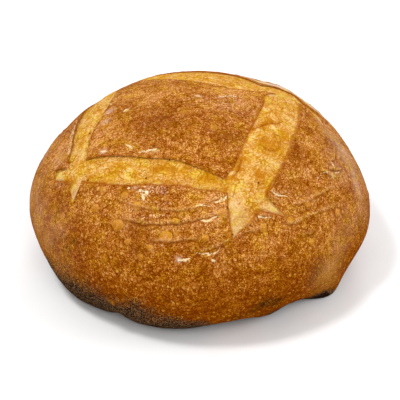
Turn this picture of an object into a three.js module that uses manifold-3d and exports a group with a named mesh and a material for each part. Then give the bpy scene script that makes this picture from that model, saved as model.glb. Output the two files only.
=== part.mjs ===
// A round hearth loaf of sourdough, scored with four crossing cuts.
//
// Millimetres, +Z up. The loaf stands on its flat base at z = 0, centred over the origin, with its
// front towards -Y. It is one solid: a domed crust, four leaf-shaped cuts that opened in the oven,
// the crumb that swelled up in them, and the ears, the lips of crust that curled up beside them.

import * as THREE from 'three';
import Module from 'manifold-3d';

// ---- the boule ----
const BELLY_RADIUS = 117.4;   // mean radius at the widest level
const BELLY_HEIGHT = 43;      // height of the widest level
const DOME_RISE = 75.7;       // from the widest level to the top
const DOME_POWER = 1.97;      // superellipse power of the dome, 2 for a true ellipse
const FOOT_RADIUS = 93;       // mean radius of the flat base
const TUCK_POWER = 1.7;       // superellipse power of the side that tucks in under the belly

// Swells and hollows round the side: direction and half spread in degrees, anticlockwise from +X,
// and how far the belly and the foot stand out there.
const SWELLS = [
  { at: 10, spread: 26, belly: -1.6, foot: 0 },
  { at: 345, spread: 17, belly: 4.7, foot: -2.9 },
  { at: 327, spread: 9, belly: -2.2, foot: 17.6 },
  { at: 304, spread: 18, belly: -1.3, foot: -13.8 },
  { at: 297, spread: 6, belly: 0, foot: 7.3 },
  { at: 280, spread: 16, belly: -0.7, foot: -10.3 },
  { at: 250, spread: 14, belly: 0, foot: 1 },
  { at: 237.5, spread: 4, belly: 0, foot: -5.1 },
  { at: 216, spread: 14, belly: 2.8, foot: 8.8 },
  { at: 184, spread: 24, belly: 4.1, foot: 0 },
  { at: 150, spread: 22, belly: -3, foot: 0 },
  { at: 116, spread: 24, belly: 2.2, foot: 2 },
  { at: 45, spread: 26, belly: 0.3, foot: 3 },
];

// ---- the cuts ----
// Each cut lies between two edges drawn in plan from tip to tip: the ear, where the crust lifted,
// and the hem, where the crumb runs out level with the crust. earHeight is the lift of the lip,
// depth how far the crumb lies below the crust at the ear, and undercut how far the wall of the
// cut runs back under the lip, below nought where the wall leans the other way.
const CUTS = [
  {
    ear: [
      [-98.5, -34], [-97, -27], [-88, -31.5], [-66, -36], [-40, -46],
      [-14, -53], [16, -66], [40, -72], [55, -79.7],
    ],
    hem: [
      [-98.5, -34], [-93, -39.5], [-85, -45], [-58, -60.5], [-32, -67],
      [-7, -72], [18, -75], [38, -80.5], [55, -79.7],
    ],
    earHeight: 2,
    depth: 3.2,
    undercut: 2.2,
  },
  {
    ear: [
      [20.8, -98.2], [34.5, -85.5], [42, -71], [52, -52.5], [61, -26.5],
      [66.6, -4], [69, 17], [69.5, 36], [63, 46],
    ],
    hem: [
      [20.8, -98.2], [18.3, -85], [17, -65], [23, -54], [29, -35],
      [37, -11], [43, 10], [46.5, 30], [63, 46],
    ],
    earHeight: 1.4,
    depth: 2.8,
    undercut: -1,
  },
  {
    ear: [
      [88, 13], [83, 32], [73.5, 40], [68, 54], [54, 55], [42, 48.5],
      [30, 62], [0, 77.5], [-28, 82], [-54, 88], [-84, 77],
    ],
    hem: [
      [88, 13], [77, 30], [64, 38], [47.3, 37], [36, 31.3], [22, 31],
      [8, 35.5], [-18, 48.5], [-37, 60], [-50, 75], [-84, 77],
    ],
    earHeight: 2,
    depth: 2.8,
    undercut: 1.8,
  },
  {
    ear: [
      [-84.2, -60], [-87.2, -47], [-89, -29], [-87.3, -10], [-86, 11],
      [-84, 32], [-82.5, 52], [-74, 74], [-54, 94],
    ],
    hem: [
      [-84.2, -60], [-79, -49.5], [-77, -30], [-75, -11], [-69.3, 8],
      [-65, 27], [-61.5, 46], [-60, 66], [-54, 94],
    ],
    earHeight: 1.6,
    depth: 2.6,
    undercut: 1.6,
  },
];

const WALL_DEPTH = 7;         // depth of the cutting solids below the crust
const CUT_CLEARANCE = 9;      // and their height above it
const HEM_FLARE = 1;          // how far they lean in below the hem and out above it
const CRUMB_ROOT = 16;        // depth to which the crumb solids reach
const CRUMB_TUCK = 6;         // how far the crumb runs on under the crust at either side
const CRUMB_COVER = 1;        // how much deeper it lies under the lip than in the cut beside it
const HEM_DEPTH = 0.9;        // depth of the crumb at the hem and the tips
const HEM_COVER = 3.6;        // and where it runs on under the crust behind the hem
const CRUMB_POWER = 1.7;      // how the crumb climbs from the ear to the hem
const EAR_WIDTH = 12;         // width of the raised border behind a lip
const EAR_ROOT = 2.5;         // depth at which the border starts, at its back
const EAR_CREST = 1.5;        // how far behind the lip the border reaches its full height
const EAR_EXCESS = 3;         // how far it stands over the cut before it is trimmed
const TIP_TAPER = 0.14;       // share of a cut's length over which it fades at each tip
const TIP_SINK = 0.8;         // how far the raised border has sunk under the crust at the tips

// ---- how finely it is worked out ----
const SECTORS = 84;
const DOME_RINGS = 24;
const TUCK_RINGS = 8;
const STATIONS = 25;          // cross-sections along a cut
const CRUMB_STEPS = 5;        // points across the crumb

// ---- the surface of the uncut boule ----

/** Sum of the swells in a direction, for the belly or the foot. */
function swell(angle, level) {
  let total = 0;
  for (const s of SWELLS) {
    const away = THREE.MathUtils.euclideanModulo(THREE.MathUtils.radToDeg(angle) - s.at + 180, 360) - 180;
    total += s[level] * Math.exp(-((away / s.spread) ** 2));
  }
  return total;
}

const bellyRadius = (angle) => BELLY_RADIUS + swell(angle, 'belly');
const footRadius = (angle) => FOOT_RADIUS + swell(angle, 'foot');

/** Point of the dome, from the top (turn 0) down to the belly (turn 1). */
function domePoint(angle, turn) {
  const t = turn * Math.PI / 2;
  const r = bellyRadius(angle) * Math.sin(t) ** (2 / DOME_POWER);
  const z = BELLY_HEIGHT + DOME_RISE * Math.max(Math.cos(t), 0) ** (2 / DOME_POWER);
  return new THREE.Vector3(r * Math.cos(angle), r * Math.sin(angle), z);
}

/** Point of the tucked side, from the belly (turn 0) down to the edge of the base (turn 1). */
function tuckPoint(angle, turn) {
  const t = turn * Math.PI / 2;
  const foot = footRadius(angle);
  const r = foot + (bellyRadius(angle) - foot) * Math.max(Math.cos(t), 0) ** (2 / TUCK_POWER);
  const z = BELLY_HEIGHT * (1 - Math.sin(t) ** (2 / TUCK_POWER));
  return new THREE.Vector3(r * Math.cos(angle), r * Math.sin(angle), z);
}

/** Point at a depth below the dome's surface, straight under the plan point (x, y). */
function belowCrust(x, y, depth) {
  const r = Math.hypot(x, y);
  const belly = bellyRadius(Math.atan2(y, x));
  const share = Math.min(r / belly, 0.995);
  const rise = (1 - share ** DOME_POWER) ** (1 / DOME_POWER);
  const outward = share ** (DOME_POWER - 1) / belly / Math.max(r, 1e-6);
  const normal = new THREE.Vector3(x * outward, y * outward, rise ** (DOME_POWER - 1) / DOME_RISE);
  return new THREE.Vector3(x, y, BELLY_HEIGHT + DOME_RISE * rise).addScaledVector(normal.normalize(), -depth);
}

// ---- closed meshes from rings of points ----

/** Closed geometry through rings of points, each as long as the next, with a fan over each end. */
function skin(rings) {
  const count = rings[0].length;
  const points = rings.flat();
  const faces = [];
  for (let i = 0; i + 1 < rings.length; i++) {
    for (let j = 0; j < count; j++) {
      const k = (j + 1) % count;
      const [a, b, c, d] = [i * count + j, i * count + k, (i + 1) * count + k, (i + 1) * count + j];
      faces.push(a, b, c, a, c, d);
    }
  }
  for (const [first, flip] of [[0, true], [points.length - count, false]]) {
    const hub = points.length;
    const middle = new THREE.Vector3();
    for (let j = 0; j < count; j++) middle.addScaledVector(points[first + j], 1 / count);
    points.push(middle);
    for (let j = 0; j < count; j++) {
      const k = (j + 1) % count;
      faces.push(hub, first + (flip ? k : j), first + (flip ? j : k));
    }
  }
  return { points, faces };
}

/** The uncut boule: rings down the dome and the tucked side, closed at the top and the base. */
function bouleSkin() {
  const ring = (point, turn) => {
    const angles = Array.from({ length: SECTORS }, (_, i) => 2 * Math.PI * i / SECTORS);
    return angles.map((angle) => point(angle, turn));
  };
  const rings = [];
  for (let i = 1; i <= DOME_RINGS; i++) rings.push(ring(domePoint, i / DOME_RINGS));
  for (let i = 1; i <= TUCK_RINGS; i++) rings.push(ring(tuckPoint, i / TUCK_RINGS));
  const boule = skin(rings.reverse());
  boule.points[boule.points.length - 2].set(0, 0, 0);
  boule.points[boule.points.length - 1].set(0, 0, BELLY_HEIGHT + DOME_RISE);
  return boule;
}

/**
 * A solid that runs along a cut. outline(station) gives the points of its cross-section, each as
 * { side, offset, depth }: a place measured across the cut from the ear (side 0) or the hem
 * (side 1), and a depth below the crust.
 */
function alongCut(cut, outline) {
  const edge = (points) => new THREE.SplineCurve(points.map(([x, y]) => new THREE.Vector2(x, y)));
  const ear = edge(cut.ear);
  const hem = edge(cut.hem);
  const rings = [];
  for (let i = 1; i < STATIONS; i++) {
    const s = i / STATIONS;
    const e = ear.getPoint(s);
    const h = hem.getPoint(s);
    const across = h.clone().sub(e);
    const width = across.length();
    across.divideScalar(width);
    const fade = THREE.MathUtils.smoothstep(Math.min(s, 1 - s), 0, TIP_TAPER);
    rings.push(outline({ width, fade }).map(({ side, offset, depth }) => {
      const place = e.clone().addScaledVector(across, side * width + offset);
      return belowCrust(place.x, place.y, depth);
    }));
  }
  return skin(rings);
}

/** What each cut takes out of the crust. */
function cutterSkin(cut) {
  return alongCut(cut, ({ fade }) => {
    const slope = cut.undercut * fade / cut.depth;
    return [
      { side: 0, offset: slope * CUT_CLEARANCE, depth: -CUT_CLEARANCE },
      { side: 0, offset: -slope * WALL_DEPTH, depth: WALL_DEPTH },
      { side: 1, offset: -HEM_FLARE, depth: WALL_DEPTH },
      { side: 1, offset: 0, depth: 0 },
      { side: 1, offset: HEM_FLARE, depth: -CUT_CLEARANCE },
    ];
  });
}

/** The crumb that fills a cut: deep under the ear, and swelling up to the hem. */
function crumbSkin(cut) {
  return alongCut(cut, ({ fade }) => {
    const drop = HEM_DEPTH + (cut.depth - HEM_DEPTH) * fade;
    const top = [];
    for (let i = 0; i <= CRUMB_STEPS; i++) {
      const v = i / CRUMB_STEPS;
      top.push({ side: v, offset: 0, depth: HEM_DEPTH + (drop - HEM_DEPTH) * (1 - v) ** CRUMB_POWER });
    }
    return [
      { side: 0, offset: -CRUMB_TUCK, depth: CRUMB_ROOT },
      { side: 1, offset: CRUMB_TUCK, depth: CRUMB_ROOT },
      { side: 1, offset: CRUMB_TUCK, depth: HEM_COVER },
      ...top.reverse(),
      { side: 0, offset: -CRUMB_TUCK, depth: drop + CRUMB_COVER },
    ];
  });
}

/** The lifted border of crust along a cut, which its cutter then trims to a lip. */
function earSkin(cut) {
  return alongCut(cut, ({ fade }) => {
    const lift = cut.earHeight * fade - TIP_SINK * (1 - fade);
    return [
      { side: 0, offset: -EAR_WIDTH, depth: EAR_ROOT },
      { side: 0, offset: -EAR_WIDTH, depth: WALL_DEPTH / 2 },
      { side: 0, offset: EAR_EXCESS, depth: WALL_DEPTH / 2 },
      { side: 0, offset: EAR_EXCESS, depth: -lift },
      { side: 0, offset: -EAR_CREST, depth: -lift },
      { side: 0, offset: -EAR_WIDTH / 2, depth: -lift / 2 },
    ];
  });
}

// ---- the loaf ----

const wasm = await Module();
wasm.setup();

/** Solid from a closed mesh, turned the right way out if its faces point in. */
function solid({ points, faces }) {
  let volume = 0;
  for (let i = 0; i < faces.length; i += 3) {
    const [a, b, c] = [0, 1, 2].map((k) => points[faces[i + k]]);
    volume += a.dot(b.clone().cross(c));
  }
  return new wasm.Manifold(new wasm.Mesh({
    numProp: 3,
    vertProperties: Float32Array.from(points.flatMap((p) => p.toArray())),
    triVerts: Uint32Array.from(volume < 0 ? faces.reverse() : faces),
  }));
}

/** Geometry of a solid, with its corners shared between faces. */
function geometryOf(manifold) {
  const { vertProperties, triVerts, numProp } = manifold.getMesh();
  const geometry = new THREE.BufferGeometry();
  const positions = new Float32Array(vertProperties.length / numProp * 3);
  for (let i = 0; i < positions.length / 3; i++) {
    positions.set(vertProperties.subarray(i * numProp, i * numProp + 3), i * 3);
  }
  geometry.setAttribute('position', new THREE.BufferAttribute(positions, 3));
  geometry.setIndex(new THREE.BufferAttribute(Uint32Array.from(triVerts), 1));
  return geometry;
}

/** The finished loaf: crust with its ears, less the cuts, and the crumb that rose in them. */
function loafGeometry() {
  let loaf = solid(bouleSkin());
  for (const cut of CUTS) loaf = loaf.add(solid(earSkin(cut)));
  for (const cut of CUTS) loaf = loaf.subtract(solid(cutterSkin(cut)));
  for (const cut of CUTS) loaf = loaf.add(solid(crumbSkin(cut)));
  return geometryOf(loaf);
}

const crust = new THREE.MeshStandardMaterial({ color: 0xb0702a, roughness: 0.5, metalness: 0 });
const loaf = new THREE.Mesh(loafGeometry(), crust);
loaf.name = 'loaf';

// The uneven swells leave the boule's axis a little off the middle of its box, which is the origin.
const middle = new THREE.Box3().setFromObject(loaf).getCenter(new THREE.Vector3());
loaf.position.set(-middle.x, -middle.y, 0);

const group = new THREE.Group();
group.add(loaf);

export default group;
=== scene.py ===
"""A round hearth loaf of sourdough, scored with four crossing cuts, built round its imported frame."""

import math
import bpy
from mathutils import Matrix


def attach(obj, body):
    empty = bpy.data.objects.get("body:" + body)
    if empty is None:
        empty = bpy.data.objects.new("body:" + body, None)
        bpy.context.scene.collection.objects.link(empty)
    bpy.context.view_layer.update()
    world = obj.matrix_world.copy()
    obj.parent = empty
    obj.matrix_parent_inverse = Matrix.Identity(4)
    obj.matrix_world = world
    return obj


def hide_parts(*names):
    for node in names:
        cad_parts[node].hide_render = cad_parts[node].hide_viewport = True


bl_info = {
    "name": "Sourdough Loaf",
    "version": (1, 0, 0),
    "blender": (4, 5, 0),
    "location": "3D View > Sidebar > Loaf",
    "description": "Shapes a boule, opens its cuts, browns its crust and lights it on a pale table",
    "category": "Object",
}

from types import SimpleNamespace

import bpy
import numpy as np
from bpy.props import FloatProperty, FloatVectorProperty, PointerProperty
from mathutils import Vector, noise

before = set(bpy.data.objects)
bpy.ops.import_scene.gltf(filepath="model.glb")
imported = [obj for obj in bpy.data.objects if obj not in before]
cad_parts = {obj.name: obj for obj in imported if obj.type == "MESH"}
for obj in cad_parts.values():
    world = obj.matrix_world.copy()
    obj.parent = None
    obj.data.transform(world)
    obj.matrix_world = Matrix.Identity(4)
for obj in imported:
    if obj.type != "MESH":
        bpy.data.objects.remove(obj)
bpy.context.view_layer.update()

NODE = "loaf"
PIECE = "loaf_crust"
MM = 0.001
CENTRE = (0.88, -0.60)   # the boule's axis in plan, from the middle of the loaf's box
BASE_SHARE = 0.2         # how dense the hidden base's faces are beside the rest
CRUST_DISC = 0.45        # radius kept for the crust laid out flat, on a square of side 1
CRUST_FILL = 0.99        # share of it that the crust fills
BASE_DISC = 0.13         # radius kept for the base beside it
BASE_FILL = 0.97
PROFILE_POINTS = 1801    # steps in which the boule's profile is measured

# ---- the boule, in millimetres and degrees ----
# Swells and hollows round the side: direction anticlockwise from +X, half spread, and how far the
# belly and the foot stand out there.
SWELLS = (
    (10, 26, -1.6, 0), (345, 17, 4.7, -2.9), (327, 9, -2.2, 17.6), (304, 18, -1.3, -13.8),
    (297, 6, 0, 7.3), (280, 16, -0.7, -10.3), (250, 14, 0, 1), (237.5, 4, 0, -5.1), (216, 14, 2.8, 8.8),
    (184, 24, 4.1, 0), (150, 22, -3, 0), (116, 24, 2.2, 2), (45, 26, 0.3, 3),
)
DOME_POWER = 1.97
TUCK_POWER = 1.7

# ---- the cuts ----
# Each lies between two edges drawn in plan from tip to tip: the ear, where the crust lifted, and
# the hem, where the crumb runs out level with it. lift is the rise of the lip, drop the depth of
# the crumb under it, lean how far the lip hangs over the crumb and undercut how far the wall then
# runs back, each below nought where the wall slopes the other way. rim is how brown the hem is,
# browned how wide the brown of the wall, and ease how much all of this fades towards the last tip.
CUTS = (
    dict(  # front
        ear=(
            (-98.5, -34), (-97, -27), (-88, -31.5), (-66, -36), (-40, -46), (-14, -53), (16, -66),
            (40, -72), (55, -79.7),
        ),
        hem=(
            (-98.5, -34), (-93, -39.5), (-85, -45), (-58, -60.5), (-32, -67), (-7, -72), (18, -75),
            (38, -80.5), (55, -79.7),
        ),
        lift=1.3, drop=1.2, lean=0.6, undercut=1.2, rim=0.9, browned=0.8, ease=0.6,
    ),
    dict(  # right
        ear=(
            (20.8, -98.2), (34.5, -85.5), (42, -71), (52, -52.5), (61, -26.5), (66.6, -4), (69, 17),
            (69.5, 36), (63, 46),
        ),
        hem=(
            (20.8, -98.2), (18.3, -85), (17, -65), (23, -54), (29, -35), (37, -11), (43, 10), (46.5, 30),
            (63, 46),
        ),
        lift=1.0, drop=1.6, lean=-0.6, undercut=-2.6, rim=1.0, browned=0.6, ease=0.0,
    ),
    dict(  # back
        ear=(
            (88, 13), (83, 32), (73.5, 40), (68, 54), (54, 55), (42, 48.5), (30, 62), (0, 77.5),
            (-28, 82), (-54, 88), (-84, 77),
        ),
        hem=(
            (88, 13), (77, 30), (64, 38), (47.3, 37), (36, 31.3), (22, 31), (8, 35.5), (-18, 48.5),
            (-37, 60), (-50, 75), (-84, 77),
        ),
        lift=0.7, drop=0.8, lean=0.4, undercut=0.6, rim=0.3, browned=0.8, ease=0.0,
    ),
    dict(  # left
        ear=(
            (-84.2, -60), (-87.2, -47), (-89, -29), (-87.3, -10), (-86, 11), (-84, 32), (-82.5, 52),
            (-74, 74), (-54, 94),
        ),
        hem=(
            (-84.2, -60), (-79, -49.5), (-77, -30), (-75, -11), (-69.3, 8), (-65, 27), (-61.5, 46),
            (-60, 66), (-54, 94),
        ),
        lift=1.0, drop=1.0, lean=0.6, undercut=1.0, rim=0.3, browned=0.5, ease=0.0,
    ),
)
LINE_POINTS = 90         # points along a cut's edge when it is measured against
NEAR = 14.0              # how far from an edge anything is still measured
FAR = 99.0               # stands for any distance past that
AT_ONCE = 6000           # how many places are measured together
HEM_DEPTH = 0.45         # depth of the crumb at the hem and the tips
CRUMB_POWER = 1.7        # how steeply the crumb falls from the hem to the wall
CRUMB_SWELL = 0.9        # how far it swells between them, where the cut is wide
WIDE = 16.0
BLEND = 0.25             # how softly the crumb of two crossing cuts runs together
TIP_TAPER = 0.14         # share of a cut's length over which it fades at each tip
TIP_REACH = 15.0         # how far the crumb is dry there
WALL_WIDTH = 0.9         # width in the flat of the strip that is folded into the wall of a cut
EAR_REACH = 6.0          # how far the lift of a lip reaches back over the crust
STREAK_GAP = 200.0       # sets the streaks of one cut's crumb apart from the next one's
# Faces are split twice where they lie this near to an ear, a hem and a crease, and to an ear from
# inside its cut.
FINER = (
    dict(ear=3.5, hem=2.2, crease=2.4, inside=6),
    dict(ear=2.0, hem=0.9, crease=0.9, inside=0),
)

# ---- marks on the crust, drawn in plan like the cuts ----
# Creases left by the rim of the proving basket and by the skin folding, each as a line, how deep it
# is and how far the crust stands out above it.
CREASES = (
    (((-53, -73), (-40, -80), (-28, -84), (-11, -86), (3, -83), (18, -76)), 0.4, 0.5),
    (((-52, -83), (-39, -89), (-25, -92), (-4, -92), (18, -86)), 0.7, 0.6),
    (((31, -87), (38, -85), (46, -82)), 0.5, 0.7),
    (((-35, -98), (-18, -101), (0, -101)), 0.6, 0.5),
    (((-3, -106), (6, -105), (15, -102), (25, -97), (40, -91)), 0.5, 0.6),
    (((66, -85), (75, -79)), 0.6, 0.4),
    (((44, -69), (51, -69), (57, -66)), 0.4, 0.7),
    (((81, -39), (85, -39), (89, -39)), 0.9, 0.8),
    (((87, -35), (92, -32), (97, -27)), 0.9, 0.8),
    (((93, -15), (92, -22), (89, -27)), 0.6, 0.6),
    (((91, 18), (93, 1), (93, -15)), 0.3, 0.3),
    (((54, -84.5), (65, -78.5), (76, -69), (93, -53)), 0.3, 0.7),
    (((59, -72.5), (70, -66), (81, -54), (89, -46.5)), 0.3, 0.7),
)
# Creases in the crumb, in the same way.
CRUMB_CREASES = (
    (((34, -22), (40, -17), (48, -11), (55, -7)), 0.6, 0.4),
    (((27, -49), (25, -57), (21, -64)), 0.8, 0.3),
    (((-98, -32), (-97, -28), (-94, -29), (-91, -31)), 0.3, 0.3),
    (((41, -72.5), (47, -75.5), (53, -79)), 0.4, 0.2),
    (((47, -22), (53, -22), (54, -28.5), (50, -36), (43, -37), (39, -33)), 0.4, 0.3),
)
# Painted highlights: glints painted in a pale colour where the light catches the skin, as lines with their
# half width and strength.
PAINTED_GLINTS = (
    (((-40, -69), (-39, -71)), 1.2, 1.0),
    (((-38, -72.5), (-37, -75), (-36.5, -76)), 1.3, 1.0),
    (((-36, -70.5), (-34.5, -73)), 1.4, 1.0),
    (((-48, -66), (-46, -66.5)), 1.0, 1.0),
    (((-41, -70), (-37, -72), (-33, -75)), 3.2, 0.55),
    (((0, -91.5), (5, -91), (11, -88.5)), 0.8, 1.0),
    (((9, -81), (14, -79), (18, -76)), 1.5, 0.7),
    (((-3, -83.5), (0, -83), (6, -83)), 0.8, 0.8),
    (((-14, -108), (-10, -108), (-7, -107.7)), 0.8, 1.0),
    (((-4, -105.5), (1, -106), (6, -106), (10, -105), (13, -102.5)), 0.7, 0.7),
    (((7, -108), (9, -108)), 0.8, 0.9),
    (((-67, -32), (-62, -34)), 1.4, 0.8),
    (((-41, -42), (-35, -42), (-29, -41)), 1.5, 0.8),
    (((-50, -32), (-47, -35), (-45, -38)), 1.3, 0.8),
    (((31, -87.5), (38, -85.5), (46, -83)), 0.8, 0.75),
    (((44, -68.5), (50, -69), (57, -67)), 0.8, 0.8),
    (((77, -46.5), (81, -41.5)), 0.8, 0.55),
    (((89, -36), (93, -32.5), (96, -28)), 0.7, 0.6),
    (((91.5, -19), (92, -25)), 0.7, 0.45),
    (((-89.6, -22), (-89, -6), (-88.2, 6), (-87, 24)), 2.4, 0.55),
    (((-64, 30), (-62, 24)), 2.2, 0.6),
    (((-66, 16), (-64, 10)), 2.0, 0.5),
    (((88, -27), (90, -31)), 1.2, 0.7),
    (((82, -39.5), (86, -37.5)), 0.7, 0.6),
    (((99, -25), (103, -17)), 0.7, 0.5),
    (((-38, -87), (-36, -86)), 1.0, 0.7),
    (((11, 12), (18, 16), (27, 17)), 4.0, 0.5),
    (((-54, 5), (-49, 6)), 1.2, 0.7),
)
# Painted rim light: pale streaks painted beside the back cut and on the right shoulder, where light glances
# off the edge, in the same way.
PAINTED_RIM_LIGHT_STREAKS = (
    (((30, 66), (42, 60), (50, 61), (58, 63), (67, 60), (75, 52), (84, 44), (94, 36)), 8.0, 1.15),
    (((82, 24), (89, 12), (96, 3), (100, -8), (104, -20), (108, -34)), 8.0, 0.4),
)
GROOVE_WIDTH = 0.9       # half widths of a crease's groove, of the shade painted along its bottom, of the crust that
BOTTOM_WIDTH = 0.6       # stands out above it, and of the highlight painted along that crust's crest
SHOULDER_WIDTH = 1.2
CREST_WIDTH = 0.65
SHOULDER_AWAY = 1.5      # how far the shoulder and the crest lie from the groove
CREST_AWAY = 1.2
CREASE_POINTS = 40       # points along a crease when it is measured against
STROKE_POINTS = 20       # and along a painted glint or a streak of painted rim light
RING_GAP = 10.6          # between the rings pressed by the basket
RING_CENTRE = (-12, 4)
RING_HEIGHTS = (58, 72, 98, 106)    # they start and are full, then fade and end
# Swelling of the skin all over, as height, wavelength and seed.
UNEVEN = ((0.5, 34, 11), (0.22, 13, 12), (0.12, 5, 13))
# Blisters: place in plan and radius.
BLISTERS = (
    (-53, -86, 4.6), (-22, -98, 5.0), (-49, -71, 3.2), (-68, -71, 3.4), (-32, -101, 2.6), (-59, -98, 4.2),
    (-16, -91, 2.6), (-47, -95, 2.4), (-39, -103, 2.8), (3, -100, 2.8), (-64, -62, 2.6), (-41, -79, 3.4),
    (58, -81, 3.0), (91, -58, 3.2), (40, -90, 3.4), (71, -66, 2.6), (73, -83, 3.0), (-51, 6, 2.4),
    (-2, 13, 2.2), (9, -25, 3.0), (14, -87, 4.0),
)
MARKED_RISE = 0.38       # height of those beside their radius
MARKED_CLEAR = 1.1       # and how clear their skin is
LOOSE_BLISTERS = 420     # smaller ones strewn over the rest
LOOSE_RADII = (0.8, 2.4)
LOOSE_RISE = 0.22
LOOSE_CLEAR = 0.6
LOOSE_FROM = 22          # lowest height at which they lie

# ---- round patches ----
# Each is a place on the loaf as x, y and height, a radius, and how strong it is where that isn't 1.
# Lumps, with how far they stand out.
LUMPS = (
    (60, 74, 84, 12, 2.0), (-44, 84, 88, 6, 1.2), (-62, 78, 84, 5, 1.4), (-28, 88, 90, 9, 0.6),
)
# Places that shine softly.
GLOSSY = (
    (-37, -72, 97, 5, 0.7), (-62, -33, 103, 7), (-35, -41, 110, 7), (-47, -34, 109, 7), (18, 14, 117, 12),
    (-3, 11, 118, 7), (12, -79, 97, 8), (4, -91, 89, 7), (9, -105, 73, 8), (-11, -108, 71, 7),
    (-30, -106, 70, 5), (-89, 5, 93, 8), (49, -69, 94, 7), (40, -85, 88, 6), (85, -36, 90, 9),
    (96, -28, 84, 8), (71, -65, 85, 5),
)
# Purplish brown patches.
DUSKY = (
    (-27, -12, 113, 20), (-46, 6, 108, 8), (20, -30, 112, 12), (-36, -89, 86, 4, 1.4),
    (-42, -89, 84, 7, 1.2), (79, -90, 44, 8), (60, -30, 100, 10), (88, -5, 88, 10), (92, -28, 87, 8, 1.1),
    (-86, -50, 84, 8, 1.2), (-83, -73, 73, 6), (-97, -68, 56, 8), (-79, -83, 63, 8), (-41, -100, 72, 5),
    (15, 60, 104, 14), (-60, 90, 60, 22), (70, 80, 60, 20), (-95, 40, 60, 16), (-108, -34, 64, 7, 1.2),
    (-104, -42, 66, 6), (-99, -52, 62, 8, 0.9),
)
# Lighter, more golden patches.
GOLDEN = (
    (-68, -19, 104, 16), (-55, 30, 103, 18), (-35, 20, 114, 16), (20, 30, 112, 20), (-46, -77, 92, 12),
    (9, -82, 96, 12), (-60, -66, 92, 10), (45, -94, 76, 10), (86, -73, 60, 14), (-97, -7, 88, 14),
    (-20, 60, 100, 20), (-89, -45, 86, 5, 1.6),
)
# Painted sheen: a paler veil painted over the sides, where light glances off the crust.
PAINTED_SHEEN_SPOTS = (
    (110, -12, 64, 15), (108, 12, 64, 13), (105, -38, 58, 13), (100, 32, 68, 13), (-108, -22, 66, 12),
    (-92, -70, 38, 18, 0.7), (-104, 5, 70, 12), (-112, -42, 54, 14, 1.5), (-117, -15, 52, 14, 1.5),
    (-102, -60, 50, 12, 1.2), (-95, -62, 63, 12, 0.8), (94, -32, 85, 9, 0.9), (91, -18, 91, 7, 0.7),
    (-110, -50, 42, 12), (-113, -30, 61, 10), (-96, -18, 87, 10), (87, -76, 37, 14, 1.5),
    (94, -67, 51, 12), (101, -55, 59, 12, 0.8), (86, -70, 22, 12),
)
# Small pale blisters and pale marks, and highlights painted where the light catches the skin.
PALE_SPOTS_AND_HIGHLIGHTS = (
    (-51, 6, 111, 1.6), (-2, 13, 117, 2.0), (-14, -108, 71, 1.6), (9, -110, 71, 1.4), (-42, -66, 98, 1.6),
    (-65, -33, 103, 1.8), (-30, -42, 110, 1.8), (89, -38, 88, 1.6), (-63, 14, 106, 3.5, 0.5),
    (-65, 0, 106, 3, 0.5), (-95, -37, 83, 3.5, 0.4),
)
# Stains baked into the crumb.
TOASTED = (
    (-29, -58, 106, 3.2, 1.4), (-17, -58, 107, 4), (-10, -59, 107, 4), (-24, -57, 106, 4),
    (5, -66, 105, 4.5, 1.4), (-53, -50, 100, 5, 0.8), (-60, -52, 98, 5, 0.5), (35, -20, 114, 2.5, 1.2),
    (40, -16, 113, 2.5, 1.5), (45, -13, 113, 2.5, 1.5), (48, -10, 112, 3), (45, -33, 108, 7),
    (52, -33, 107, 3), (39, -58, 103, 4, 1.3), (27, -49, 109, 2.2, 1.8), (25, -57, 107, 2.2, 1.8),
    (21, -64, 104, 2.2, 1.8), (-82, -15, 97, 6, 0.5), (-73, 20, 99, 7, 0.5), (56, -22, 107, 3, 0.8),
    (36, -83, 91, 3, 1.6), (20, -94, 89, 2.4, 1.6), (18, -86, 93, 2.4, 1.6), (17, -78, 96, 2.2, 1.4),
    (45, -70, 97, 2.2, 1.8), (50, -75, 93, 2.2, 1.8), (54, -79, 90, 2.2, 1.6), (41, -62, 101, 3),
    (-86, -45, 86, 3, 1.2), (-92, -41, 84, 3.5),
)
# Pale patches of crumb.
CREAMY = (
    (-49, -57, 101, 3, 1.3), (-47, -53, 103, 2.5, 1.3), (-39, -58, 103, 3, 0.9), (63, 2, 107, 3.5, 1.6),
    (50, -15, 111, 3, 1.3), (34, -29, 113, 2.5), (48, -48, 104, 4, 1.3), (36, -51, 107, 2.5),
    (44, 6, 113, 3, 1.3), (37, -15, 114, 3, 1.2), (22, -80, 96, 6, 0.9), (45, -77, 90, 6),
    (-87, -51, 84, 6), (-95, -33, 84, 5), (-66, -46, 98, 4, 0.8), (44, 44, 104, 5, 0.7),
    (25, -70, 100, 5, 0.8), (-84, -20, 97, 12, 0.5), (-76, 15, 101, 14, 0.5), (-66, 42, 99, 14, 0.5),
    (-84, -56, 84, 5),
)
# Scorched places.
SCORCHED = (
    (84, -66, 3, 9, 2.0), (-88, -72, 24, 16, 0.6), (-101, -60, 28, 10, 0.9), (45, -105, 31, 9, 0.2),
)
# Soft dark brown places.
DARKENED = (
    (50, -99, 12, 8, 1.2), (41, -107, 32, 6, 1.5), (50, -103, 31, 6, 1.4), (36, -107, 27, 5, 1.2),
    (46, -106, 36, 4, 1.2), (77, -87, 42, 8, 0.5), (84, -76, 30, 7, 0.3), (30, -108, 22, 8, 0.4),
    (62, -98, 34, 6, 0.2), (-83, -79, 63, 2.5, 1.6), (-88, -78, 57, 3.5), (-91, -73, 63, 3, 0.8),
)

# How high the burnt foot reaches in each direction, in degrees anticlockwise from +X.
BURNT_FOOT = (
    (70, 0), (90, 24), (120, 30), (150, 34), (180, 12), (195, 18), (205, 34), (218, 44), (231, 52),
    (240, 42), (249, 43), (261, 38), (269, 28), (277, 11), (290, 6), (300, 22), (312, 8), (322, 9),
    (334, 9), (342, 4), (360, 0),
)


# ---- sizes and colours a user would change ----


def length(name, description, value):
    """A length setting."""
    return FloatProperty(name=name, description=description, unit="LENGTH", default=value)


def colour(name, description, value):
    """A colour setting."""
    return FloatVectorProperty(name=name, description=description, subtype="COLOR", default=value)


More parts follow.
